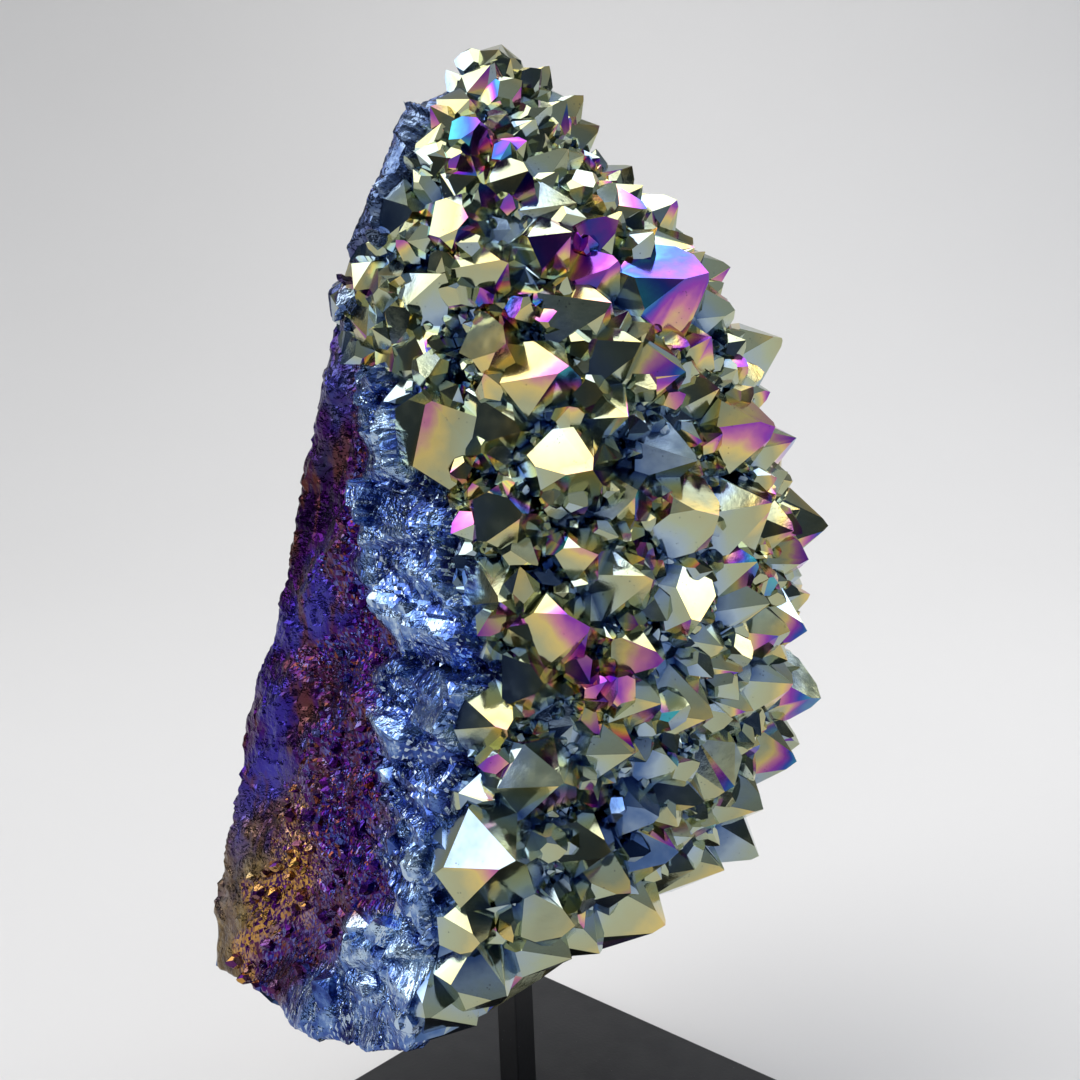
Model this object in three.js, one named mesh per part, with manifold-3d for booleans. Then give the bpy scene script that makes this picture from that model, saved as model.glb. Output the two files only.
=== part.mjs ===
// Metal-coated amethyst cluster on a black stand.
// Millimetres, +Z up. The origin is the middle of the base plate's underside.
// The crystal face looks along -Y and the broken side wall looks along -X.
import * as THREE from "three";
import { ConvexGeometry } from "three/addons/geometries/ConvexGeometry.js";
import { mergeVertices } from "three/addons/utils/BufferGeometryUtils.js";
import Module from "manifold-3d";

// Stand
const PLATE_SIDE = 130;
const PLATE_THICKNESS = 10;
const PLATE_CHAMFER = 1;
const POST_SIDE = 8;
const POST_SETBACK = 11.5;
const POST_IN_STONE = 30;
const SOCKET_DIAMETER = 12;
const SOCKET_CLEARANCE = 0.4;

// Stone: how far it reaches from the Z axis at a few heights
const STONE_BOTTOM = 76;
const STONE_TOP = 316;
const HEIGHTS = [76, 95, 130, 176, 215, 248, 270, 298, 316];
const BACK_REACH = [56, 55, 52, 45, 36, 27, 22, 14, 6];
const LEFT_REACH = [74, 70, 62, 51, 44, 40, 37, 27, 6];
const RIGHT_REACH = [36, 46, 58, 63, 59, 49, 37, 16, 4];
const CRUST_LINE = [-28, -31, -31, -26, -12, 4, 8, 4, -1];
const FRONT_REACH = [42, 49, 57, 61, 59, 53, 41, 17, 6];
// Turn around the front from which crystals cover it at the same heights: quartz bodies lie bare before it
const CRYSTAL_START = [-92, -91, -86, -70, -84, -92, -90, -80, -70];
const UNDERSIDE_RISE = 23;
const BACK_BULGE = 6;
const WALL_RELIEF = 4;
const RING_STEP = 13;
const SIDE_STEPS = 6;
const BACK_STEPS = 6;
const FRONT_STEPS = 8;

// Crystals
const SEED = 30;
const TIP_SLOPE = THREE.MathUtils.degToRad(51.8);
const WALL_TAPER = THREE.MathUtils.degToRad(9);
const GROWTH = new THREE.Vector3(0, -0.8, 0.1);
const CROWDING = 0.83;
const FILL = [
  { width: 15, tries: 240 },
  { width: 12.5, tries: 1500 },
];
// The large points: turn around the front, height and width, and whether the tip is broken off
const LARGE_POINTS = [
  [-2, 259, 24],
  [-60, 247, 18],
  [-48, 241, 19],
  [-82, 226, 26, "broken"],
  [6, 223, 21],
  [-46, 220, 20],
  [-14, 205, 19],
  [-66, 208, 17],
  [-52, 181, 21],
  [-62, 169, 17],
  [-76, 160, 18],
  [-14, 184, 19, "broken"],
  [4, 130, 19, "broken"],
  [-56, 145, 21],
  [-68, 127, 26],
  [-72, 106, 13],
  [-38, 103, 17],
  [12, 166, 16],
  [16, 196, 16],
  [-34, 286, 13],
  [-32, 271, 15],
  [-18, 127, 15],
  [-32, 122, 15],
  [-52, 298, 12],
  [-86, 264, 13],
  [-84, 255, 14],
  [-64, 277, 14],
  [-66, 311, 11],
  [-32, 232, 14],
  [-28, 172, 14],
  [-32, 148, 15],
  [-84, 127, 15],
  [-46, 199, 14],
  [40, 240, 19],
  [48, 190, 22],
  [44, 140, 20],
  [72, 215, 17],
  [76, 165, 20],
  [70, 118, 18],
  [30, 276, 14],
  [-78, 316, 11],
  [-50, 314, 10],
  [-36, 94, 16],
  [-56, 90, 15],
  [-20, 106, 15],
];
// Points of the ledge that stands out of the left wall: place and width
const LEDGE_POINTS = [
  [-40, 4, 262, 14],
  [-39, 13, 264, 13],
  [-38, 20, 258, 12],
  [-41, 9, 253, 13],
];
const LEDGE_GROWTH = new THREE.Vector3(-0.9, -0.55, -0.05);
// Quartz prisms that lie along the broken side walls and run towards the front
const WALL_PRISM_GAP = 13;
const WALL_PRISM_WIDTH = 16;
const WALL_PRISM_LENGTH = 26;

const wasm = await Module();
wasm.setup();

// A repeatable stream of numbers from 0 to 1
function numberStream(seed) {
  let state = seed >>> 0;
  return () => {
    state = (state + 0x6d2b79f5) >>> 0;
    let mixed = Math.imul(state ^ (state >>> 15), state | 1);
    mixed ^= mixed + Math.imul(mixed ^ (mixed >>> 7), mixed | 61);
    return ((mixed ^ (mixed >>> 14)) >>> 0) / 4294967296;
  };
}

// A smooth curve through one value for each of HEIGHTS
function profile(values) {
  const curve = new THREE.CubicInterpolant(HEIGHTS, values, 1);
  const low = HEIGHTS[0];
  const high = HEIGHTS[HEIGHTS.length - 1];
  return (z) => curve.evaluate(THREE.MathUtils.clamp(z, low, high))[0];
}

const backAt = profile(BACK_REACH);
const leftAt = profile(LEFT_REACH);
const rightAt = profile(RIGHT_REACH);
const crustAt = profile(CRUST_LINE);
const frontAt = profile(FRONT_REACH);
const crystalStartAt = profile(CRYSTAL_START);

function asSolid(geometry) {
  const plain = geometry.clone();
  plain.deleteAttribute("normal");
  plain.deleteAttribute("uv");
  const merged = mergeVertices(plain, 1e-4);
  const mesh = new wasm.Mesh({
    numProp: 3,
    vertProperties: new Float32Array(merged.attributes.position.array),
    triVerts: new Uint32Array(merged.index.array),
  });
  return new wasm.Manifold(mesh);
}

function asGeometry(solid) {
  const mesh = solid.getMesh();
  const geometry = new THREE.BufferGeometry();
  geometry.setAttribute("position", new THREE.BufferAttribute(new Float32Array(mesh.vertProperties), 3));
  geometry.setIndex(new THREE.BufferAttribute(new Uint32Array(mesh.triVerts), 1));
  return geometry;
}

// Uneven rock between -1 and 1: slow swells some 50 mm long with quicker ones of about 20 mm on them
function bumps(x, y, z) {
  const slow = Math.sin(x * 0.11 + y * 0.07 + 1.3) * Math.sin(z * 0.13 + y * 0.09);
  const quick = Math.sin(y * 0.31 + z * 0.17 + 2.1) * Math.sin(z * 0.37 - x * 0.23);
  return 0.6 * slow + 0.4 * quick;
}

// The underside climbs towards the front and the right, and the lift fades out higher up
function lifted(x, y, z) {
  const share = 1 - (z - STONE_BOTTOM) / (STONE_TOP - STONE_BOTTOM);
  const across = THREE.MathUtils.smoothstep(0.5 * x - y, -70, 60);
  return new THREE.Vector3(x, y, z + UNDERSIDE_RISE * across * share ** 3);
}

// Point on the crystal-bearing front at a turn from the left crust line (-90) to the right one (90)
function frontPoint(turn, z) {
  const left = leftAt(z);
  const right = rightAt(z);
  const crust = crustAt(z);
  const angle = THREE.MathUtils.degToRad(turn);
  const across = Math.sign(Math.sin(angle)) * Math.abs(Math.sin(angle)) ** 0.85;
  const forward = Math.abs(Math.cos(angle)) ** 0.85;
  const x = (right - left) / 2 + ((right + left) / 2) * across;
  return lifted(x, crust - (frontAt(z) + crust) * forward, z);
}

function frontNormal(turn, z) {
  const along = frontPoint(turn + 2, z).sub(frontPoint(turn - 2, z));
  const up = frontPoint(turn, z + 3).sub(frontPoint(turn, z - 3));
  return along.cross(up).normalize();
}

// Broken rock: horizontal rings, walked from the left crust line over the back to the right one and home
function ringAt(z) {
  const left = leftAt(z);
  const right = rightAt(z);
  const back = backAt(z);
  const crust = crustAt(z);
  const points = [];
  for (let i = 0; i < SIDE_STEPS; i += 1) {
    const t = i / SIDE_STEPS;
    const y = THREE.MathUtils.lerp(crust, back, t);
    points.push([-left - WALL_RELIEF * bumps(left, y, z), y]);
  }
  for (let i = 0; i < BACK_STEPS; i += 1) {
    const t = i / BACK_STEPS;
    const x = THREE.MathUtils.lerp(-left, right, t);
    const bulge = BACK_BULGE * Math.sin(Math.PI * t);
    points.push([x, back + bulge + WALL_RELIEF * 0.6 * bumps(x, back, z)]);
  }
  for (let i = 0; i < SIDE_STEPS; i += 1) {
    const t = i / SIDE_STEPS;
    const y = THREE.MathUtils.lerp(back, crust, t);
    points.push([right + WALL_RELIEF * bumps(right, y, z), y]);
  }
  for (let i = 0; i < FRONT_STEPS; i += 1) {
    const { x, y } = frontPoint(90 - (180 * i) / FRONT_STEPS, z);
    points.push([x, y]);
  }
  return points;
}

function rockGeometry() {
  const levels = Math.round((STONE_TOP - STONE_BOTTOM) / RING_STEP);
  const positions = [];
  const triangles = [];
  let count = 0;
  for (let i = 0; i <= levels; i += 1) {
    const z = THREE.MathUtils.lerp(STONE_BOTTOM, STONE_TOP, i / levels);
    const ring = ringAt(z);
    count = ring.length;
    for (const [x, y] of ring) positions.push(...lifted(x, y, z));
  }
  for (let i = 0; i < levels; i += 1) {
    for (let j = 0; j < count; j += 1) {
      const a = i * count + j;
      const b = i * count + ((j + 1) % count);
      triangles.push(a, a + count, b, b, a + count, b + count);
    }
  }
  for (const [level, flip] of [[0, false], [levels, true]]) {
    const z = THREE.MathUtils.lerp(STONE_BOTTOM, STONE_TOP, level / levels);
    const middle = positions.length / 3;
    positions.push(...lifted((rightAt(z) - leftAt(z)) / 2, (backAt(z) - frontAt(z)) / 2, z));
    for (let j = 0; j < count; j += 1) {
      const a = level * count + j;
      const b = level * count + ((j + 1) % count);
      if (flip) triangles.push(b, a, middle);
      else triangles.push(a, b, middle);
    }
  }
  const geometry = new THREE.BufferGeometry();
  geometry.setAttribute("position", new THREE.Float32BufferAttribute(positions, 3));
  geometry.setIndex(triangles);
  return geometry;
}

// Corners of the solid that lies behind every plane of a list
function cornersBehind(planes) {
  const corners = [];
  const spot = new THREE.Vector3();
  const system = new THREE.Matrix3();
  for (let i = 0; i < planes.length; i += 1) {
    for (let j = i + 1; j < planes.length; j += 1) {
      for (let k = j + 1; k < planes.length; k += 1) {
        const [a, b, c] = [planes[i], planes[j], planes[k]];
        system.set(a.normal.x, a.normal.y, a.normal.z, b.normal.x, b.normal.y, b.normal.z,
          c.normal.x, c.normal.y, c.normal.z);
        if (Math.abs(system.determinant()) < 1e-4) continue;
        spot.set(-a.constant, -b.constant, -c.constant).applyMatrix3(system.invert());
        if (planes.some((plane) => plane.distanceToPoint(spot) > 1e-4)) continue;
        if (corners.some((corner) => corner.distanceTo(spot) < 1e-2)) continue;
        corners.push(spot.clone());
      }
    }
  }
  return corners;
}

// One quartz point: a tip of three larger and three smaller faces, with prism walls on the large ones
function quartzPoint({ width, reach, depth, walls, broken }, random) {
  const planes = [new THREE.Plane(new THREE.Vector3(0, 0, -1), -depth)];
  for (let i = 0; i < 6; i += 1) {
    const angle = (i * Math.PI) / 3;
    const facing = new THREE.Vector3(Math.cos(angle), Math.sin(angle), 0);
    if (walls) {
      const wall = facing.clone().multiplyScalar(Math.cos(WALL_TAPER));
      wall.z = Math.sin(WALL_TAPER);
      planes.push(new THREE.Plane(wall, -(width / 2) * (0.86 + 0.28 * random())));
    }
    const tip = facing.multiplyScalar(Math.sin(TIP_SLOPE));
    tip.z = Math.cos(TIP_SLOPE);
    const setBack = i % 2 === 0 ? 0.06 * random() : 0.03 + 0.17 * random();
    planes.push(new THREE.Plane(tip, -(reach + setBack * width) * Math.cos(TIP_SLOPE)));
  }
  if (broken) {
    const crack = new THREE.Vector3(random() - 0.5, random() - 0.5, 1.4).normalize();
    planes.push(new THREE.Plane(crack, -reach * 0.5));
  }
  return new ConvexGeometry(cornersBehind(planes));
}

function placed(geometry, root, axis, spin) {
  const turn = new THREE.Quaternion().setFromUnitVectors(new THREE.Vector3(0, 0, 1), axis);
  turn.multiply(new THREE.Quaternion().setFromAxisAngle(new THREE.Vector3(0, 0, 1), spin));
  return geometry.applyMatrix4(new THREE.Matrix4().compose(root, turn, new THREE.Vector3(1, 1, 1)));
}

function wobble(random, size) {
  return new THREE.Vector3(random() - 0.5, random() - 0.5, random() - 0.5).multiplyScalar(size);
}

// 0 on the front, 1 on the right flank, where points are larger, sparser and stand straight off the wall
function flank(turn) {
  return THREE.MathUtils.smoothstep(turn, 28, 55);
}

function growthAxis(turn, z, random, unevenness) {
  const forward = GROWTH.clone().multiplyScalar(1 - 0.75 * flank(turn));
  return frontNormal(turn, z).add(forward).add(wobble(random, unevenness)).normalize();
}

// Points on the front: the large ones first, then smaller ones wherever there is room
function frontSpots(random) {
  const spots = LARGE_POINTS.map(([turn, z, width, state]) => ({
    root: frontPoint(turn, z),
    axis: growthAxis(turn, z, random, 0.4),
    width,
    reach: width * (0.6 + 0.12 * random()),
    depth: width * 0.8,
    walls: true,
    broken: state === "broken",
  }));
  for (const { width, tries } of FILL) {
    for (let i = 0; i < tries; i += 1) {
      const z = THREE.MathUtils.lerp(STONE_BOTTOM + 8, STONE_TOP - 4, random());
      const turn = THREE.MathUtils.lerp(crystalStartAt(z), 88, random());
      const taper = 1 - 0.45 * THREE.MathUtils.smoothstep(z, 250, 310);
      const size = width * (0.85 + 0.3 * random()) * taper * (1 + 0.35 * flank(turn));
      const room = CROWDING * (1 + 0.6 * flank(turn));
      const root = frontPoint(turn, z);
      if (spots.some((spot) => spot.root.distanceTo(root) < room * (spot.width + size) / 2)) continue;
      const axis = growthAxis(turn, z, random, 0.8);
      spots.push({ root, axis, width: size, reach: size * (0.5 + 0.35 * random()), depth: size * 0.3 });
    }
  }
  return spots;
}

function ledgeSpots(random) {
  return LEDGE_POINTS.map(([x, y, z, width]) => ({
    root: new THREE.Vector3(x, y, z),
    axis: LEDGE_GROWTH.clone().add(wobble(random, 0.5)).normalize(),
    width,
    reach: width * (0.55 + 0.2 * random()),
    depth: width,
    walls: true,
  }));
}

function wallSpots(random) {
  const spots = [];
  for (const [side, reachAt] of [[-1, leftAt], [1, rightAt]]) {
    for (let z = STONE_BOTTOM + 12; z < STONE_TOP - 85; z += WALL_PRISM_GAP) {
      const width = WALL_PRISM_WIDTH * (0.7 + 0.5 * random());
      const sunk = width * (0.28 + 0.12 * random());
      const y = THREE.MathUtils.lerp(crustAt(z), backAt(z), 0.1 + 0.2 * random());
      const axis = new THREE.Vector3(side * 0.3, -1, 0.1).add(wobble(random, 0.5)).normalize();
      const reach = WALL_PRISM_LENGTH * (0.6 + 0.4 * random());
      const root = lifted(side * (reachAt(z) - sunk), y, z);
      spots.push({ root, axis, width, reach, depth: width * 0.7, walls: true });
    }
  }
  return spots;
}

function crystalSolids() {
  const random = numberStream(SEED);
  const spots = [...frontSpots(random), ...ledgeSpots(random), ...wallSpots(random)];
  return spots.map((spot) => {
    const point = quartzPoint(spot, random);
    return asSolid(placed(point, spot.root, spot.axis, random() * Math.PI));
  });
}

// The solid inside the largest closed surface: gaps buried between crystals are filled with rock
function outerShell(solid) {
  const shells = solid.decompose();
  shells.sort((a, b) => b.volume() - a.volume());
  return shells[0];
}

function clusterGeometry() {
  const rock = asSolid(rockGeometry());
  const grown = outerShell(wasm.Manifold.union([rock, ...crystalSolids()]).simplify(0.65));
  const hole = new THREE.CylinderGeometry(SOCKET_DIAMETER / 2, SOCKET_DIAMETER / 2, 80, 20);
  hole.rotateX(Math.PI / 2);
  hole.translate(0, POST_SETBACK, STONE_BOTTOM + POST_IN_STONE + SOCKET_CLEARANCE - 40);
  return asGeometry(grown.subtract(asSolid(hole)));
}

function plateGeometry() {
  const side = PLATE_SIDE - 2 * PLATE_CHAMFER;
  const outline = new THREE.Shape();
  outline.moveTo(-side / 2, -side / 2);
  outline.lineTo(side / 2, -side / 2);
  outline.lineTo(side / 2, side / 2);
  outline.lineTo(-side / 2, side / 2);
  outline.closePath();
  const plate = new THREE.ExtrudeGeometry(outline, {
    depth: PLATE_THICKNESS - 2 * PLATE_CHAMFER,
    bevelEnabled: true,
    bevelThickness: PLATE_CHAMFER,
    bevelSize: PLATE_CHAMFER,
    bevelSegments: 1,
  });
  return plate.translate(0, 0, PLATE_CHAMFER);
}

function postGeometry() {
  const length = STONE_BOTTOM + POST_IN_STONE - PLATE_THICKNESS;
  const post = new THREE.BoxGeometry(POST_SIDE, POST_SIDE, length);
  return post.translate(0, POST_SETBACK, PLATE_THICKNESS + length / 2);
}

function piece(name, geometry, material) {
  const mesh = new THREE.Mesh(geometry, material);
  mesh.name = name;
  return mesh;
}

const coatedQuartz = new THREE.MeshStandardMaterial({ color: 0x8f8a6a, roughness: 0.2, metalness: 0.9 });
const blackPaint = new THREE.MeshStandardMaterial({ color: 0x1c1c1e, roughness: 0.45, metalness: 0.1 });

const part = new THREE.Group();
part.name = "amethyst_cluster_on_stand";
part.add(piece("amethyst_cluster", clusterGeometry(), coatedQuartz));
part.add(piece("post", postGeometry(), blackPaint));
part.add(piece("base_plate", plateGeometry(), blackPaint));
export default part;
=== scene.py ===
import math
import random

import bmesh
import bpy
import numpy as np
from bpy.props import (
    FloatProperty,
    FloatVectorProperty,
    IntProperty,
    PointerProperty,
)
from bpy.types import Operator, Panel, PropertyGroup
from mathutils import Matrix, Vector, noise
from mathutils.bvhtree import BVHTree


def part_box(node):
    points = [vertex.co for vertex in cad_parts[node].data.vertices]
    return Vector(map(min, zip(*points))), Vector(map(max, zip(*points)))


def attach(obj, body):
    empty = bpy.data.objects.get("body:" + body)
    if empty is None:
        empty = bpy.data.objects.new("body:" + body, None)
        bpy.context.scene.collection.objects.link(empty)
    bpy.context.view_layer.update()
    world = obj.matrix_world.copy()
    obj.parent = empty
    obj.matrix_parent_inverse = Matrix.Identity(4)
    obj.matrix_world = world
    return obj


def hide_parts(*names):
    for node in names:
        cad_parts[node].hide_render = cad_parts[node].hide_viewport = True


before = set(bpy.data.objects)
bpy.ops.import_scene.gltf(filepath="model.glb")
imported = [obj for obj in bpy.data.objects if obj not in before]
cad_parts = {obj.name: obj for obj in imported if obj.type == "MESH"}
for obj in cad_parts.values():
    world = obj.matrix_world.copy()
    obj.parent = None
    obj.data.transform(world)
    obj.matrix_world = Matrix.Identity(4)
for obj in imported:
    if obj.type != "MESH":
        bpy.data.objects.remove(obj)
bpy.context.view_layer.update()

bl_info = {
    "name": "Amethyst Cluster on Stand",
    "version": (1, 0, 0),
    "blender": (4, 5, 0),
    "location": "3D View > Sidebar > Cluster",
    "description": "Dresses a coated amethyst cluster, its post and its base plate",
    "category": "Object",
}

STONE = "amethyst_cluster"
MM = 0.001
# Heights of the stone's outline in mm, and where its crystal crust and its back lie at each of them
HEIGHTS = (76, 95, 130, 176, 215, 248, 270, 298, 316)
LEFT_CRUST = (-28, -31, -34, -37, -16, 3, 5, 5, 7)
RIGHT_CRUST = (-28, -31, -31, -26, -12, 4, 8, 6, 5)
BACK_REACH = (56, 55, 52, 45, 36, 27, 22, 14, 6)
# Share of the wall's depth, counted from the back, where the rind ends and where the quartz starts
RIND_END = (0.17, 0.17, 0.18, 0.20, 0.29, 0.35, 0.35, 0.35, 0.35)
QUARTZ_START = (0.46, 0.70, 0.74, 0.50, 0.42, 0.42, 0.42, 0.42, 0.42)
# Middle, reach and soft edge in mm of the ledge of crystals that stands out of the broken wall
LEDGE = (-41, 10, 259)
LEDGE_REACH = 19
LEDGE_FADE = 6
# Crystals with a coating of their own: place in mm, reach in mm, film at the foot and at the tip
TINTED = (
    ((-43, -32, 249), 9, 0.50, 0.60),
    ((-37, -42, 246), 9, 0.50, 0.62),
    ((-1, -58, 259), 13, 0.93, 0.74),
    ((-34, -29, 258), 7, 0.90, 0.70),
    ((-21, -40, 270), 8, 0.84, 0.66),
    ((-48, -22, 220), 8, 0.42, 0.66),
    ((-46, -16, 210), 7, 0.70, 0.78),
    ((-36, -54, 173), 10, 0.58, 0.74),
    ((-47, -55, 187), 7, 0.42, 0.72),
    ((0, -58, 217), 10, 0.55, 0.74),
    ((15, -66, 230), 9, 0.48, 0.60),
    ((14, -68, 222), 9, 0.60, 0.70),
    ((25, -68, 200), 14, 0.46, 0.68),
    ((-29, -59, 135), 9, 0.05, 0.14),
    ((-21, -60, 122), 6, 0.10, 0.16),
    ((-67, -54, 139), 10, 0.22, 0.28),
    ((-68, -45, 117), 9, 0.44, 0.52),
    ((-36, -50, 229), 8, 0.48, 0.60),
    ((-38, -58, 223), 8, 0.60, 0.70),
    ((-24, -15, 297), 6, 0.92, 0.72),
    ((5, -23, 289), 6, 0.94, 0.80),
    ((-16, -54, 227), 9, 0.20, 0.26),
    ((-15, -24, 290), 8, 0.36, 0.44),
)
# What a face of the stone belongs to
ROCK, MAIN, CREVICE, GRAIN, CHIP = range(5)
# Corners nearer than this are one, and edges shorter than this go at the end, in metres
SAME_PLACE = 1e-6
SLIVER = 4e-6
# Net over the rock: level of its ball, rounds of cutting long edges, and the longest edge allowed
# on the seen wall, on the other walls and under the crystals, where it is never cut
BALL_LEVEL = 6
CUT_ROUNDS = 3
SEEN_EDGE, OTHER_EDGE, HIDDEN_EDGE = 1.6 * MM, 2.6 * MM, 1.0
SEEN_SIDE = -8 * MM
# Rounds of smoothing that take the points off the ball
SKIN_ROUNDS = 26
# The ball's middle lies this far below the stone's, and is drawn out by this many mm up and down
BALL_DROP = 6 * MM
BALL_STRETCH = 85
# Rays start this far outside, and a ray that misses ends this many mm from the middle
RAY_START = 0.5
MISSED = 20
# Triangles of the CAD stone that turn less than this are one flat face
FLAT_ANGLE = math.radians(0.4)
# The rock lies this far above the plain wall, and under the crystals this many mm below the skin
WALL_LIFT = 0.3 * MM
BURIED = 7
# The rock's lower rim, up to this height, is smoothed this often
RIM_TOP = 90 * MM
RIM_ROUNDS = 3
# Edges of the large points that wear: at least this sharp and this long
WORN_ANGLE = math.radians(22)
WORN_LENGTH = 1.2 * MM
# Slope of quartz's tip faces against the prism's end, and the small shapes that are scattered
TIP_SLOPE = math.radians(51.8)
POINT_SHAPES = 10
SPLINTER_SHAPES = 8
# Small points stand at least this share of their mean width apart, and grains this share
POINT_ROOM = 0.72
GRAIN_ROOM = 0.85
# Points within this many widths of each other are fused to the stone in different batches
BATCH_ROOM = 1.25
# Socket for the post: radius, room above the post, and how far above the plate the drill starts
SOCKET_RADIUS = 6 * MM
SOCKET_ROOM = 0.4 * MM
DRILL_START = 20 * MM
# Floor and backdrop in metres: half width, near and far end, bend, and the wall above the bend
FLOOR_HALF_WIDTH, FLOOR_NEAR, FLOOR_FAR = 4.0, -3.0, 0.7
BEND_RADIUS, BEND_STEPS, BACKDROP_HEIGHT = 1.5, 24, 1.5
# Way that the facets with the most colourful coating look
COLOURFUL_SIDE = (0.48, -0.52, -0.70)
# Colour sockets of Blender's Mix node
MIX_A, MIX_B, MIX_RESULT = 6, 7, 2


def colour(name, text, default):
    return FloatVectorProperty(
        name=name, description=text, default=default, size=3, min=0, max=1, subtype="COLOR"
    )


class ClusterSettings(PropertyGroup):
    seed: IntProperty(
        name="Seed", description="Start of the repeatable scatter", default=7, min=0
    )
    crevice_tries: IntProperty(
        name="Crevice points", description="Tries at small points between the large ones",
        default=2600, min=0,
    )
    crevice_width: FloatProperty(
        name="Crevice point width", description="Width of the widest small points",
        default=9.5 * MM, unit="LENGTH",
    )
    druse_tries: IntProperty(
        name="Druse points", description="Tries at the finest points", default=5000, min=0
    )
    druse_width: FloatProperty(
        name="Druse point width", description="Width of the widest of the finest points",
        default=3.8 * MM, unit="LENGTH",
    )
    grain_tries: IntProperty(
        name="Wall grains", description="Tries at grains on the broken wall", default=3200, min=0
    )
    grain_width: FloatProperty(
        name="Wall grain width", description="Width of the widest grains on the broken wall",
        default=3.6 * MM, unit="LENGTH",
    )
    chip_tries: IntProperty(
        name="Quartz chips", description="Tries at broken quartz ends on the wall",
        default=900, min=0,
    )
    chip_width: FloatProperty(
        name="Quartz chip width", description="Width of the widest broken quartz ends",
        default=9.0 * MM, unit="LENGTH",
    )
    edge_wear: FloatProperty(
        name="Edge wear", description="How far the large points' edges are worn back",
        default=0.2 * MM, unit="LENGTH",
    )
    rock_relief: FloatProperty(
        name="Rock relief", description="Height of one step of the rock wall's lumps",
        default=1.0 * MM, unit="LENGTH",
    )
    navy: colour("Navy", "Thinnest coating, deep between the points", (0.016, 0.038, 0.13))
    steel: colour("Steel blue", "Thin coating", (0.085, 0.16, 0.35))
    silver: colour("Silver blue", "Thin, pale coating", (0.36, 0.46, 0.55))
    sage: colour("Sage", "Grey green coating", (0.43, 0.48, 0.33))
    champagne: colour("Champagne", "Olive yellow coating", (0.45, 0.45, 0.26))
    gold: colour("Gold", "Yellow coating", (0.74, 0.57, 0.20))
    rose: colour("Rose", "Pink coating", (0.62, 0.22, 0.36))
    violet: colour("Violet", "Purple coating", (0.30, 0.06, 0.42))
    indigo: colour("Indigo", "Blue violet coating", (0.05, 0.09, 0.46))
    teal: colour("Teal", "Thickest coating", (0.06, 0.38, 0.44))


class StandSettings(PropertyGroup):
    edge_radius: FloatProperty(
        name="Edge radius", description="Rounding of the post's and the plate's edges",
        default=0.5 * MM, unit="LENGTH",
    )
    paint: colour("Paint", "Black paint of the stand", (0.012, 0.012, 0.013))
    gloss: FloatProperty(
        name="Roughness", description="Roughness of the paint",
        default=0.42, min=0, max=1, subtype="FACTOR",
    )


class StageSettings(PropertyGroup):
    azimuth: FloatProperty(
        name="Azimuth", description="Turn of the camera's view round the object",
        default=math.radians(-47.0), subtype="ANGLE",
    )
    pitch: FloatProperty(
        name="Pitch", description="How far the camera looks down",
        default=math.radians(12.3), subtype="ANGLE",
    )
    roll: FloatProperty(
        name="Roll", description="How far the camera leans", default=0.036, subtype="ANGLE"
    )
    place: FloatVectorProperty(
        name="Camera place", description="Where the camera stands",
        default=(-0.2694, -0.257, 0.2736), subtype="TRANSLATION",
    )
    lens: FloatProperty(
        name="Lens", description="Focal length on a 36 mm sensor",
        default=46.0, min=10, unit="CAMERA",
    )
    floor: colour("Floor", "Pale floor and backdrop", (0.775, 0.75, 0.72))


# Small helpers

def smoothstep(low, high, value):
    t = np.clip((np.asarray(value, float) - low) / (high - low), 0, 1)
    return t * t * (3 - 2 * t)


def at_height(values, z):
    return np.interp(z, np.multiply(HEIGHTS, MM), values)


def crust_at(x, z):
    """How far back the crystal crust reaches."""
    return np.where(np.less(x, 0), at_height(LEFT_CRUST, z), at_height(RIGHT_CRUST, z)) * MM


def ledge_at(points):
    """1 on the ledge of crystals, 0 away from it."""
    away = np.linalg.norm(np.asarray(points, float).reshape(-1, 3) - np.multiply(LEDGE, MM), axis=1)
    return smoothstep(LEDGE_REACH * MM, (LEDGE_REACH - LEDGE_FADE) * MM, away)


def layers(points):
    """Layer of the wall at each point: 0 to 1 rind, 1 to 2 grains, 2 to 3 quartz, then crystals."""
    points = np.asarray(points, float).reshape(-1, 3)
    x, y, z = points.T
    back = at_height(BACK_REACH, z) * MM
    depth = (back - y) / np.maximum(back - crust_at(x, z), 5 * MM)
    # The layers' borders wander, in long folds and in small lumps
    for i, (px, py, pz) in enumerate(points):
        depth[i] += 0.17 * noise.noise(Vector((px * 30, py * 14, pz * 75)))
        depth[i] += 0.14 * noise.noise(Vector((px, py, pz)) * 28)
    rind, quartz = at_height(RIND_END, z), at_height(QUARTZ_START, z)
    return np.where(
        depth < rind,
        depth / rind,
        np.where(
            depth < quartz,
            1 + (depth - rind) / (quartz - rind),
            2 + (depth - quartz) / (1 - quartz),
        ),
    )


def new_object(name, data):
    made = bpy.data.objects.new(name, data)
    bpy.context.scene.collection.objects.link(made)
    return made


def mesh_from(bm, name):
    """The bmesh as a new mesh. The bmesh is freed."""
    mesh = bpy.data.meshes.new(name)
    bm.to_mesh(mesh)
    bm.free()
    return mesh


# Geometry of the stone

def merged_stone():
    """The CAD stone's loose triangles as one closed mesh."""
    bm = bmesh.new()
    bm.from_mesh(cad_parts[STONE].data)
    bmesh.ops.remove_doubles(bm, verts=bm.verts, dist=SAME_PLACE)
    return bm


def smoothed(bm, verts, rounds):
    for _ in range(rounds):
        bmesh.ops.smooth_vert(
            bm, verts=verts, factor=0.5, use_axis_x=True, use_axis_y=True, use_axis_z=True
        )


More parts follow.
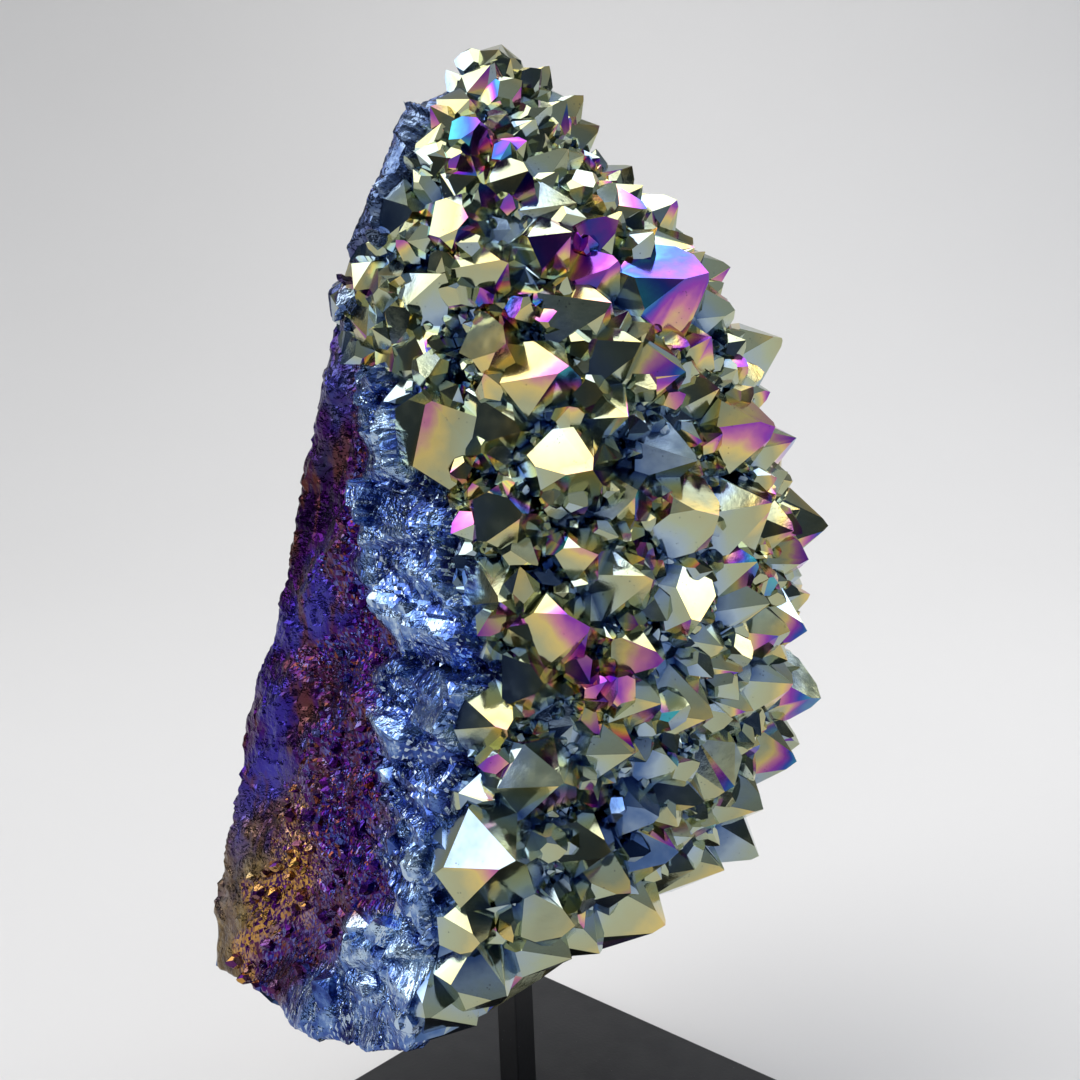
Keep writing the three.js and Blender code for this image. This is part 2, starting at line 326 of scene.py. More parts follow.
def wrapped_ball(tree, middle, allowed=None):
    """A ball pulled tight over the stone, its net made finer where edges are too long."""
    bm = bmesh.new()
    bmesh.ops.create_icosphere(bm, subdivisions=BALL_LEVEL, radius=1)

    def onto(co):
        start = middle + Vector((0, 0, co.z * BALL_STRETCH * MM))
        way = Vector((co.x, co.y, co.z ** 3 * 1.2)).normalized()
        return tree.ray_cast(start + way * RAY_START, -way)[0] or start + way * MISSED * MM

    places = {v: onto(v.co) for v in bm.verts}
    for _ in range(CUT_ROUNDS if allowed else 0):
        edges = []
        for e in bm.edges:
            a, b = (places[v] for v in e.verts)
            if (a - b).length > allowed((a + b) / 2):
                edges.append(e)
        bmesh.ops.subdivide_edges(bm, edges=edges, cuts=1)
        bmesh.ops.triangulate(bm, faces=[f for f in bm.faces if len(f.verts) > 3])
        for v in bm.verts:
            if v not in places:
                v.co.normalize()
                places[v] = onto(v.co)
    for v in bm.verts:
        v.co = places[v]
    return bm


def smooth_skin(tree, middle):
    """The stone without its points: what stands out of it or lies below it can be measured."""
    bm = wrapped_ball(tree, middle)
    smoothed(bm, bm.verts, SKIN_ROUNDS)
    bmesh.ops.recalc_face_normals(bm, faces=bm.faces)
    skin = BVHTree.FromBMesh(bm)
    bm.free()
    return skin


def broken_faces(point, scale, tilt):
    """Height of a face broken into flat, tilted flakes."""
    spot = Vector((point.x * scale[0], point.y * scale[1], point.z * scale[2]))
    flake = noise.voronoi(spot)[1][0]
    lean = noise.noise_vector(flake * 3.1)
    return (spot - flake).dot(lean) * tilt + noise.noise(flake * 2.3)


def rock_height(point, layer):
    """Steps of relief above the plain wall: crusty rind, grains, then ledges of quartz."""
    swell = 1.2 + 1.3 * noise.noise(point * 32)
    rind = swell + 0.9 * noise.noise(point * 110)
    rind += 0.9 * broken_faces(point, (240, 240, 240), 1.2)
    grains = swell - 0.6 + 1.2 * noise.noise(point * 75)
    grains += 1.3 * broken_faces(point, (190, 150, 190), 1.3)
    grains += 0.6 * broken_faces(point, (420, 420, 420), 1.2)
    quartz = swell + 1.8 + 3.4 * broken_faces(point, (58, 27, 82), 1.7)
    quartz += 1.3 * broken_faces(point, (125, 60, 140), 1.5)
    height = rind + (grains - rind) * float(smoothstep(0.9, 1.1, layer))
    height += (quartz - height) * float(smoothstep(1.85, 2.15, layer))
    return max(0.15, height)


def rock_body(tree, skin, middle, relief):
    """Fine skin over the wall, the back and the underside. It dives below the crystal crust."""
    def allowed(spot):
        if spot.y < crust_at(spot.x, spot.z) - 5 * MM:
            return HIDDEN_EDGE
        return SEEN_EDGE if spot.x < SEEN_SIDE else OTHER_EDGE

    bm = wrapped_ball(tree, middle, allowed)
    places = [v.co.copy() for v in bm.verts]
    for v, layer, ledge in zip(bm.verts, layers(places), ledge_at(places)):
        point = v.co.copy()
        smooth, outward, _, _ = skin.find_nearest(point)
        crust = crust_at(point.x, point.z) + 6 * MM * noise.noise(point * 45)
        buried = max(float(smoothstep(crust + 3 * MM, crust - 5 * MM, point.y)), float(ledge))
        wall = point + outward * (WALL_LIFT + rock_height(point, layer) * relief)
        v.co = wall.lerp(smooth - outward * BURIED * MM, buried)
    smoothed(bm, [v for v in bm.verts if v.co.z < RIM_TOP], RIM_ROUNDS)
    return bm


def closed(bm):
    """True where every edge joins two faces."""
    return all(e.is_manifold for e in bm.edges)


def worn_edges(mesh, width):
    """Takes the sharpness off the large points' outer edges, unless that would leave a hole."""
    bm = bmesh.new()
    bm.from_mesh(mesh)
    edges = []
    for e in bm.edges:
        middle = (e.verts[0].co + e.verts[1].co) / 2
        outer = e.is_manifold and e.is_convex and e.calc_face_angle() > WORN_ANGLE
        in_front = middle.y < crust_at(middle.x, middle.z) + 2 * MM
        if outer and e.calc_length() > WORN_LENGTH and in_front:
            edges.append(e)
    bmesh.ops.bevel(
        bm, geom=edges, offset=width, offset_type="OFFSET", affect="EDGES", segments=1,
        profile=0.5, material=-1, clamp_overlap=True,
    )
    bmesh.ops.remove_doubles(bm, verts=bm.verts, dist=SAME_PLACE)
    if closed(bm):
        bm.to_mesh(mesh)
    bm.free()


def cut_off(bm, place, normal):
    """Cuts off what lies outside a plane, and closes the cut with one face."""
    cut = bmesh.ops.bisect_plane(
        bm, geom=bm.verts[:] + bm.edges[:] + bm.faces[:], plane_co=place, plane_no=normal,
        clear_outer=True,
    )
    edges = [e for e in cut["geom_cut"] if isinstance(e, bmesh.types.BMEdge)]
    if edges:
        bmesh.ops.holes_fill(bm, edges=edges, sides=0)


def finished_shape(bm, name):
    """A scattered shape's mesh, with its doubles merged and its faces pointing outwards."""
    bmesh.ops.remove_doubles(bm, verts=bm.verts, dist=1e-4)
    bmesh.ops.recalc_face_normals(bm, faces=bm.faces)
    return mesh_from(bm, name)


def quartz_template(seed):
    """One point of width 1 standing on the origin: a six-sided prism cut by six tip faces."""
    rng = random.Random(seed)
    bm = bmesh.new()
    low, high = -0.75, 1.4
    bmesh.ops.create_cone(
        bm, cap_ends=True, segments=6, radius1=0.60, radius2=0.50, depth=high - low,
        matrix=Matrix.Translation((0, 0, (low + high) / 2)),
    )
    reach = 0.72 + 0.25 * rng.random()
    for i in range(6):
        angle = i * math.pi / 3 + math.pi / 6
        normal = Vector((
            math.cos(angle) * math.sin(TIP_SLOPE),
            math.sin(angle) * math.sin(TIP_SLOPE),
            math.cos(TIP_SLOPE),
        ))
        back = 0.06 * rng.random() if i % 2 == 0 else 0.03 + 0.17 * rng.random()
        cut_off(bm, (0, 0, reach + back), normal)
    return finished_shape(bm, "quartz_point")


def broken_template(seed):
    """One angular splinter of width 1, such as a broken quartz end."""
    rng = random.Random(seed)
    bm = bmesh.new()
    bmesh.ops.create_icosphere(bm, subdivisions=1, radius=0.62)
    for v in bm.verts:
        v.co *= 0.85 + 0.35 * rng.random()
    for _ in range(3):
        normal = Vector((rng.uniform(-1, 1), rng.uniform(-1, 1), rng.uniform(0.1, 1))).normalized()
        cut_off(bm, normal * (0.30 + 0.15 * rng.random()), normal)
    return finished_shape(bm, "splinter")


class Surface:
    """Random places on the stone's faces, in proportion to their area."""

    def __init__(self, bm, rng):
        self.triangles = [
            [loop.vert.co.copy() for loop in triple] for triple in bm.calc_loop_triangles()
        ]
        areas = [(b - a).cross(c - a).length for a, b, c in self.triangles]
        self.sums = np.cumsum(areas)
        self.rng = rng

    def pick(self):
        at = int(np.searchsorted(self.sums, self.rng.random() * self.sums[-1]))
        a, b, c = self.triangles[min(at, len(self.triangles) - 1)]
        u, v = self.rng.random(), self.rng.random()
        if u + v > 1:
            u, v = 1 - u, 1 - v
        return a + (b - a) * u + (c - a) * v, (b - a).cross(c - a).normalized()


class Scatter:
    """Spots for small points, kept apart by their widths."""

    def __init__(self, cell=9 * MM):
        self.cell = cell
        self.grid = {}
        self.spots = []

    def key(self, place):
        return tuple(int(math.floor(x / self.cell)) for x in place)

    def near(self, place):
        i, j, k = self.key(place)
        for a in (i - 1, i, i + 1):
            for b in (j - 1, j, j + 1):
                for c in (k - 1, k, k + 1):
                    yield from self.grid.get((a, b, c), ())

    def add(self, place, axis, width, kind, room):
        """Adds a spot, unless another one is too near."""
        for other in self.near(place):
            if (self.spots[other][0] - place).length < room * (self.spots[other][2] + width) / 2:
                return
        self.grid.setdefault(self.key(place), []).append(len(self.spots))
        self.spots.append((place, axis, width, kind))

    def batches(self):
        """Spots sorted into groups whose points don't touch each other."""
        groups = []
        chosen = []
        for i, (place, _, width, _) in enumerate(self.spots):
            taken = set()
            for other in self.near(place):
                away = (self.spots[other][0] - place).length
                if other < i and away < BATCH_ROOM * (self.spots[other][2] + width):
                    taken.add(chosen[other])
            batch = 0
            while batch in taken:
                batch += 1
            chosen.append(batch)
            while len(groups) <= batch:
                groups.append([])
            groups[batch].append(i)
        return groups


def wobble(rng, size):
    return Vector((rng.uniform(-1, 1), rng.uniform(-1, 1), rng.uniform(-1, 1))) * size


def small_points(surface, skin, settings, rng):
    """Small points between the large ones, grains and splinters on the broken wall."""
    scatter = Scatter()
    for tries, widest, spread, highest in (
        (settings.crevice_tries, settings.crevice_width, 0.5, 0.5 * MM),
        (settings.druse_tries, settings.druse_width, 0.40, -1.0 * MM),
    ):
        for _ in range(tries):
            place, facing = surface.pick()
            margin = (4 + 12 * noise.noise(place * 30)) * MM
            walled = place.y > crust_at(place.x, place.z) + margin
            if walled and ledge_at(place)[0] < 0.3:
                continue
            low, outward, _, _ = skin.find_nearest(place)
            if (place - low).dot(outward) > highest:
                continue
            width = widest * (1 - spread * rng.random())
            axis = (outward * 0.8 + facing * 0.35 + wobble(rng, 0.42)).normalized()
            scatter.add(place - axis * width * 0.15, axis, width, CREVICE, POINT_ROOM)
    for tries, widest, lowest, highest, kind in (
        (settings.chip_tries, settings.chip_width, 2.0, 2.85, CHIP),
        (settings.grain_tries, settings.grain_width, 0.95, 2.1, GRAIN),
    ):
        for _ in range(tries):
            place, facing = surface.pick()
            if not lowest < layers(place)[0] < highest or facing.y > 0.7:
                continue
            width = widest * (1 - 0.5 * rng.random())
            forward = Vector((0, -0.6, 0.1)) if kind == CHIP else Vector((0, 0, 0))
            axis = (facing + forward + wobble(rng, 0.45)).normalized()
            scatter.add(place + facing * 0.6 * MM, axis, width, kind, GRAIN_ROOM)
    return scatter


def combined(base, other, operation):
    """Joins another closed mesh object to the base, or cuts it out of it, and drops it."""
    count = len(base.data.vertices)
    for solver in ("MANIFOLD", "EXACT"):
        step = base.modifiers.new("step", "BOOLEAN")
        step.operation = operation
        step.solver = solver
        step.object = other
        graph = bpy.context.evaluated_depsgraph_get()
        mesh = bpy.data.meshes.new_from_object(base.evaluated_get(graph))
        base.modifiers.clear()
        if len(mesh.vertices) not in (0, count):
            break
        bpy.data.meshes.remove(mesh)
    else:
        raise RuntimeError("a mesh could not be combined with the stone")
    old = base.data
    base.data = mesh
    bpy.data.meshes.remove(old)
    bpy.data.objects.remove(other)


def drill(whole):
    """Opens the socket for the post again in the fine rock."""
    low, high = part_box("post")
    bm = bmesh.new()
    top = high.z + SOCKET_ROOM
    bottom = low.z + DRILL_START
    middle = ((low.x + high.x) / 2, (low.y + high.y) / 2, (top + bottom) / 2)
    bmesh.ops.create_cone(
        bm, cap_ends=True, segments=32, radius1=SOCKET_RADIUS, radius2=SOCKET_RADIUS,
        depth=top - bottom, matrix=Matrix.Translation(middle),
    )
    bit = new_object("bit", mesh_from(bm, "bit"))
    mark(bit.data, ROCK, 0)
    combined(whole, bit, "DIFFERENCE")


def drop_crumbs(mesh):
    """Keeps the one large body. Crumbs, closed hollows, slivers and corners inside an edge go."""
    bm = bmesh.new()
    bm.from_mesh(mesh)
    bmesh.ops.dissolve_degenerate(bm, dist=SLIVER, edges=bm.edges)
    if not closed(bm):
        bm.free()
        bm = bmesh.new()
        bm.from_mesh(mesh)
    # Taking one corner out of an edge can leave another
    for _ in range(3):
        bmesh.ops.dissolve_verts(bm, verts=[v for v in bm.verts if len(v.link_edges) == 2])
    left = set(bm.faces)
    body = set()
    while left:
        found = {left.pop()}
        front = list(found)
        while front:
            for e in front.pop().edges:
                for face in e.link_faces:
                    if face in left:
                        left.remove(face)
                        found.add(face)
                        front.append(face)
        if len(found) > len(body):
            body = found
    bmesh.ops.delete(bm, geom=[f for f in bm.faces if f not in body], context="FACES")
    bm.to_mesh(mesh)
    bm.free()


def mark(mesh, kind, first):
    """Gives each face its kind and a number of its own. Returns the next free number."""
    count = len(mesh.polygons)
    kinds = mesh.attributes.new("kind", "INT", "FACE")
    kinds.data.foreach_set("value", np.full(count, kind, np.int32))
    facets = mesh.attributes.new("facet", "INT", "FACE")
    facets.data.foreach_set("value", np.arange(first, first + count, dtype=np.int32))
    return first + count


def batch_object(scatter, members, templates, splinters, first, rng):
    """One batch of small points as an object, its faces marked, and the next free number."""
    bm = bmesh.new()
    kinds = bm.faces.layers.int.new("kind")
    facets = bm.faces.layers.int.new("facet")
    number = first
    for i in members:
        place, axis, width, kind = scatter.spots[i]
        source = splinters if kind == CHIP else templates
        shape = source[rng.randrange(len(source))]
        turn = Vector((0, 0, 1)).rotation_difference(axis).to_matrix().to_4x4()
        stretch = 0.85 + 0.4 * rng.random()
        spin = Matrix.Rotation(rng.uniform(0, math.tau), 4, "Z")
        matrix = Matrix.Translation(place) @ turn @ spin
        flatness = 0.85 + 0.3 * rng.random()
        matrix = matrix @ Matrix.Diagonal((width, width * flatness, width * stretch, 1))
        verts_before, faces_before = len(bm.verts), len(bm.faces)
        bm.from_mesh(shape)
        bm.verts.ensure_lookup_table()
        bm.faces.ensure_lookup_table()
        bmesh.ops.transform(bm, matrix=matrix, verts=bm.verts[verts_before:])
        for face in bm.faces[faces_before:]:
            face[kinds] = kind
            face[facets] = number
            number += 1
    return new_object("batch", mesh_from(bm, "batch")), number


# Colours of the stone

def column(items, name, kind=float, width=1):
    """One value, or a row of values, for each of the mesh's items."""
    values = np.zeros(len(items) * width, kind)
    items.foreach_get(name, values)
    return values.reshape(-1, width) if width > 1 else values


def write(mesh, name, domain, values):
    made = mesh.attributes.new(name, "FLOAT", domain)
    made.data.foreach_set("value", values.astype(np.float32))


def standing_out(verts, skin):
    """How far each corner stands out of the smooth skin, and which way out is."""
    proud = np.zeros(len(verts))
    outward = np.zeros((len(verts), 3))
    for i, co in enumerate(verts):
        low, normal, _, _ = skin.find_nearest(co)
        outward[i] = normal
        proud[i] = (Vector(co) - low).dot(normal)
    return proud, outward


def climb(places, normals, outward, facets, count):
    """Share of its own facet's height that each corner has climbed, and that height."""
    uphill = outward - normals * np.sum(normals * outward, axis=1, keepdims=True)
    sums = np.zeros((count, 3))
    np.add.at(sums, facets, uphill)
    sums /= np.maximum(np.linalg.norm(sums, axis=1, keepdims=True), 1e-9)
    along = np.sum(places * sums[facets], axis=1)
    lowest = np.full(count, 1e9)
    highest = np.full(count, -1e9)
    np.minimum.at(lowest, facets, along)
    np.maximum.at(highest, facets, along)
    span = np.maximum(highest - lowest, 1e-5)[facets]
    return (along - lowest[facets]) / span, span


def stone_values(mesh, skin, seed):
    """Writes what the colours depend on: film, and for the rock layer, relief and speck."""
    verts = column(mesh.vertices, "co", width=3)
    corner_vert = column(mesh.loops, "vertex_index", np.int64)
    totals = column(mesh.polygons, "loop_total", np.int64)
    face_of = np.repeat(np.arange(len(totals)), totals)
    n = column(mesh.polygons, "normal", width=3)[face_of]
    kind = column(mesh.attributes["kind"].data, "value", np.int64)
    facet = column(mesh.attributes["facet"].data, "value", np.int64)
    corner_facet = facet[face_of]
    places = verts[corner_vert]
    proud, outward = standing_out(verts, skin)
    count = int(facet.max()) + 1
    rng = np.random.default_rng(seed)
    luck, second, third = (rng.random(count) for _ in range(3))
    chance, pick, shift = luck[corner_facet], second[corner_facet], third[corner_facet]
    climbed, span = climb(places, n, outward[corner_vert], corner_facet, count)
    large = smoothstep(3 * MM, 11 * MM, span)

    # The film gets thicker towards the top and the tips. Facets that look right and down are purple
    x, y, z = places.T
    higher = smoothstep(105 * MM, 205 * MM, z)
    facing = np.clip(n @ np.array(COLOURFUL_SIDE), 0, 1)
    rise = (0.05 + 0.18 * large) * (climbed - 0.40)
    film = 0.30 + 0.08 * higher + 0.26 * (chance - 0.5) + rise
    lively = (0.12 + 0.88 * large) * (0.25 + 0.75 * higher)
    purple = pick < (0.08 + 0.65 * facing) * lively
    film = np.where(purple, 0.58 + 0.16 * shift + 1.3 * rise, film)
    vivid = pick > 1 - 0.12 * lively
    film = np.where(vivid, 0.50 + 0.42 * shift + rise, film)

    # Crystals with a coating of their own
    corners = np.maximum(np.bincount(corner_facet, minlength=count), 1)[:, None]
    centres = np.zeros((count, 3))
    np.add.at(centres, corner_facet, places)
    centres /= corners
    for place, reach, foot, tip in TINTED:
        near = np.linalg.norm(centres - np.multiply(place, MM), axis=1) < reach * MM
        inside = near[corner_facet]
        film[inside] = (foot + (tip - foot) * climbed + 0.06 * (chance - 0.5))[inside]

    # The film is thin and blue deep between the points and towards the broken wall
    hollow = smoothstep(2.0 * MM, -3.5 * MM, proud[corner_vert])
    film += (0.08 + 0.12 * chance - film) * hollow
    walled = smoothstep(-9 * MM, 6 * MM, y - crust_at(x, z)) * (1 - ledge_at(verts)[corner_vert])
    film += (0.03 + 0.15 * chance ** 1.5 - film) * walled
    write(mesh, "film", "CORNER", np.clip(film, 0, 1))

    write(mesh, "layer", "POINT", layers(verts))
    # How far the rock stands out: it paints a highlight on the quartz crests and shade in its
    # hollows
    above_rim = smoothstep(80 * MM, 108 * MM, verts[:, 2])
    write(mesh, "relief", "POINT", 0.35 + (np.clip(proud / (7 * MM), 0, 1) - 0.35) * above_rim)
    write(mesh, "speck", "FACE", luck[facet])
    rocky = np.isin(kind, (ROCK, GRAIN, CHIP))
    mesh.polygons.foreach_set("material_index", rocky.astype(np.int32))
    mesh.polygons.foreach_set("use_smooth", np.zeros(len(totals), bool))
    mesh.update()


# Materials

class Nodes:
    """Short ways to lay out one material's nodes."""

    def __init__(self, name):
        self.material = bpy.data.materials.new(name)
        self.material.use_nodes = True
        self.tree = self.material.node_tree
        self.shader = self.tree.nodes["Principled BSDF"]
        self.place = self.add("ShaderNodeTexCoord").outputs["Object"]

    def add(self, kind, **values):
        node = self.tree.nodes.new(kind)
        for key, value in values.items():
            setattr(node, key, value)
        return node

    def link(self, source, target):
        self.tree.links.new(source, target)

    def put(self, socket, value):
        if isinstance(value, bpy.types.NodeSocket):
            self.link(value, socket)
        else:
            socket.default_value = value

    def noise(self, scale, detail=3.0, roughness=0.55, place=None):
        node = self.add("ShaderNodeTexNoise")
        self.link(place or self.place, node.inputs["Vector"])
        node.inputs["Scale"].default_value = scale
        node.inputs["Detail"].default_value = detail
        node.inputs["Roughness"].default_value = roughness
        return node.outputs["Fac"]

    def cells(self, scale):
        node = self.add("ShaderNodeTexVoronoi", feature="F1")
        self.link(self.place, node.inputs["Vector"])
        node.inputs["Scale"].default_value = scale
        return node.outputs["Distance"]

    def stretched(self, scale):
        node = self.add("ShaderNodeMapping")
        self.link(self.place, node.inputs["Vector"])
        node.inputs["Scale"].default_value = scale
        return node.outputs["Vector"]

    def math(self, operation, a, b):
        node = self.add("ShaderNodeMath", operation=operation)
        self.put(node.inputs[0], a)
        self.put(node.inputs[1], b)
        return node.outputs[0]

    def span(self, value, low, high, to_low=0.0, to_high=1.0):
        node = self.add("ShaderNodeMapRange", interpolation_type="SMOOTHSTEP")
        self.put(node.inputs["Value"], value)
        node.inputs["From Min"].default_value = low
        node.inputs["From Max"].default_value = high
        node.inputs["To Min"].default_value = to_low
        node.inputs["To Max"].default_value = to_high
        return node.outputs["Result"]

    def ramp(self, value, stops):
        node = self.add("ShaderNodeValToRGB")
        self.put(node.inputs["Fac"], value)
        elements = node.color_ramp.elements
        while len(elements) < len(stops):
            elements.new(0.5)
        for element, (position, shade) in zip(elements, stops):
            element.position = position
            element.color = (*shade[:3], 1)
        return node.outputs["Color"]

    def mix(self, factor, a, b):
        node = self.add("ShaderNodeMix", data_type="RGBA")
        self.put(node.inputs["Factor"], factor)
        for socket, shade in ((MIX_A, a), (MIX_B, b)):
            linked = isinstance(shade, bpy.types.NodeSocket)
            self.put(node.inputs[socket], shade if linked else (*shade[:3], 1))
        return node.outputs[MIX_RESULT]

    def value(self, name):
        return self.add("ShaderNodeAttribute", attribute_name=name).outputs["Fac"]

    def bump(self, height, strength, distance):
        node = self.add("ShaderNodeBump")
        self.link(height, node.inputs["Height"])
        node.inputs["Strength"].default_value = strength
        node.inputs["Distance"].default_value = distance
        self.link(node.outputs["Normal"], self.shader.inputs["Normal"])

    def height_above_floor(self):
        node = self.add("ShaderNodeSeparateXYZ")
        self.link(self.place, node.inputs[0])
        return node.outputs["Z"]


def film_stops(c):
    """Colour of the film from thin to thick."""
    return (
        (0.00, c.navy),
        (0.11, c.steel),
        (0.22, c.silver),
        (0.34, c.sage),
        (0.45, c.champagne),
        (0.55, c.gold),
        (0.63, c.rose),
        (0.71, c.violet),
        (0.80, c.indigo),
        (0.92, c.teal),
    )


def crystal_coating(c):
    """Mirror-like film whose colour drifts over a facet, with painted shade in a few small pits."""
    made = Nodes("coated_crystal")
    drift = made.math("MULTIPLY", made.math("SUBTRACT", made.noise(60, 2), 0.5), 0.20)
    ripple = made.math("MULTIPLY", made.math("SUBTRACT", made.noise(420, 1), 0.5), 0.05)
    film = made.math("ADD", made.math("ADD", made.value("film"), drift), ripple)
    tint = made.ramp(film, film_stops(c))
    # Painted shade: a few small pits turn dark navy
    pits = made.span(made.cells(900), 0.10, 0.22)
    rare = made.span(made.noise(260, 1), 0.58, 0.66)
    shaded_pits = made.math("MULTIPLY", made.math("SUBTRACT", 1.0, pits), rare)
    pit_shade = made.mix(0.65, tint, (0.02, 0.03, 0.06))
    made.link(made.mix(shaded_pits, tint, pit_shade), made.shader.inputs["Base Color"])
    made.shader.inputs["Metallic"].default_value = 1.0
    rough = made.span(made.noise(140, 2), 0.3, 0.75, 0.06, 0.19)
    made.link(rough, made.shader.inputs["Roughness"])
    growth = made.math("ADD", made.noise(230, 1), made.math("MULTIPLY", made.noise(1100, 1), 0.25))
    made.bump(growth, 0.035, 0.0012)
    return made.material


def rock_coating():
    """The film on broken rock: purple rind and grains, blue quartz with a painted highlight on its
    crests and painted glints, amber low down.
    """
    made = Nodes("coated_rock")
    warp = made.math("SUBTRACT", made.noise(70, 3, 0.6), 0.5)
    layer = made.math("ADD", made.value("layer"), made.math("MULTIPLY", warp, 0.7))
    speck = made.value("speck")
    above = made.height_above_floor()
    patch = made.noise(36, 3, 0.62)
    streak = made.noise(75, 3, 0.62, made.stretched((1.0, 1.5, 0.6)))
    rind = made.ramp(patch, (
        (0.36, (0.017, 0.002, 0.042)),
        (0.46, (0.056, 0.005, 0.110)),
        (0.55, (0.028, 0.011, 0.190)),
        (0.66, (0.050, 0.042, 0.330)),
    ))
    rind = made.mix(made.span(streak, 0.54, 0.64, 0.0, 0.8), rind, (0.110, 0.034, 0.018))
    grain = made.ramp(speck, (
        (0.00, (0.020, 0.003, 0.065)),
        (0.36, (0.085, 0.008, 0.150)),
        (0.58, (0.024, 0.022, 0.240)),
        (0.78, (0.120, 0.150, 0.440)),
        (0.90, (0.170, 0.045, 0.030)),
    ))
    grain = made.mix(made.span(streak, 0.48, 0.60, 0.0, 0.55), grain, (0.110, 0.030, 0.022))
    # Painted highlight and shade: the quartz is paler where the rock stands out and darker in its
    # hollows
    crest_highlight = made.math("MULTIPLY", made.math("SUBTRACT", made.value("relief"), 0.55), 0.24)
    vein = made.noise(130, 4, 0.65)
    quartz = made.ramp(made.math("ADD", vein, crest_highlight), (
        (0.32, (0.012, 0.018, 0.110)),
        (0.44, (0.045, 0.090, 0.330)),
        (0.56, (0.130, 0.230, 0.500)),
        (0.70, (0.480, 0.630, 0.800)),
    ))
    # Painted glints: random faces of the quartz turn pale blue
    quartz = made.mix(made.span(speck, 0.76, 0.92, 0.0, 0.8), quartz, (0.560, 0.680, 0.800))
    drift = made.math("MULTIPLY", made.math("SUBTRACT", made.noise(15, 3), 0.5), 0.16)
    uneven = made.math("ADD", made.math("ADD", above, drift), made.math("MULTIPLY", warp, 0.05))
    low = made.math("MULTIPLY", made.span(uneven, 0.145, 0.098), made.span(layer, 1.55, 1.15))
    earth = made.ramp(made.noise(150, 3, 0.7), (
        (0.32, (0.050, 0.034, 0.010)),
        (0.50, (0.170, 0.115, 0.034)),
        (0.62, (0.290, 0.200, 0.060)),
        (0.74, (0.360, 0.300, 0.170)),
    ))
    rind = made.mix(made.math("MULTIPLY", low, 0.9), rind, earth)
    amber = made.mix(speck, (0.200, 0.075, 0.020), (0.620, 0.340, 0.080))
    grain = made.mix(made.math("MULTIPLY", low, made.span(speck, 0.25, 0.60)), grain, amber)
    coat = made.mix(made.span(layer, 0.88, 1.12), rind, grain)
    coat = made.mix(made.span(layer, 1.85, 2.15), coat, quartz)
    slate = made.ramp(vein, (
        (0.34, (0.012, 0.020, 0.050)),
        (0.52, (0.070, 0.105, 0.200)),
        (0.68, (0.220, 0.290, 0.420)),
    ))
    coat = made.mix(made.span(uneven, 0.225, 0.265, 0.0, 0.9), coat, slate)
    made.link(coat, made.shader.inputs["Base Color"])
    made.shader.inputs["Metallic"].default_value = 0.97
    rough = made.span(made.noise(300, 1), 0.3, 0.7, 0.09, 0.29)
    glint = made.span(speck, 0.55, 0.95, 1.0, 0.45)
    made.link(made.math("MULTIPLY", rough, glint), made.shader.inputs["Roughness"])
    made.bump(made.noise(650, 2, 0.65), 0.5, 0.0009)
    return made.material


def black_paint(settings):
    """Satin paint with cloudy gloss and a little dust."""
    made = Nodes("satin_black_paint")
    cloud = made.noise(22, 4)
    lighter = [x * 1.7 for x in settings.paint]
    tint = made.ramp(cloud, ((0.3, settings.paint), (0.75, lighter)))
    dust = made.span(made.cells(520), 0.09, 0.05)
    rare = made.span(made.noise(95, 2), 0.56, 0.64)
    dusty = made.math("MULTIPLY", made.math("MULTIPLY", dust, rare), 0.35)
    made.link(made.mix(dusty, tint, (0.30, 0.30, 0.29)), made.shader.inputs["Base Color"])
    rough = made.span(made.noise(60, 4), 0.3, 0.75, settings.gloss - 0.06, settings.gloss + 0.10)
    made.link(rough, made.shader.inputs["Roughness"])
    made.shader.inputs["Specular IOR Level"].default_value = 0.35
    made.bump(made.noise(900, 3), 0.08, 0.0006)
    return made.material


def pale_surface(settings):
    """Plain pale floor with painted shade that darkens it towards the left."""
    made = Nodes("pale_floor")
    duller = [x * 0.985 for x in settings.floor]
    # Colour of the painted shade towards the left of the floor
    painted_shade_colour = [x * 0.3 for x in settings.floor]
    tint = made.ramp(made.noise(3.0, 2), ((0.3, duller), (0.7, settings.floor)))
    across = made.add("ShaderNodeVectorMath", operation="DOT_PRODUCT")
    made.link(made.place, across.inputs[0])
    across.inputs[1].default_value = (math.cos(settings.azimuth), math.sin(settings.azimuth), 0)
    # Painted shade: the floor darkens towards the left
    shade = made.span(across.outputs["Value"], 0.35, -0.7, 0.0, 0.26)
    made.link(made.mix(shade, tint, painted_shade_colour), made.shader.inputs["Base Color"])
    made.shader.inputs["Roughness"].default_value = 0.7
    return made.material


# Operators

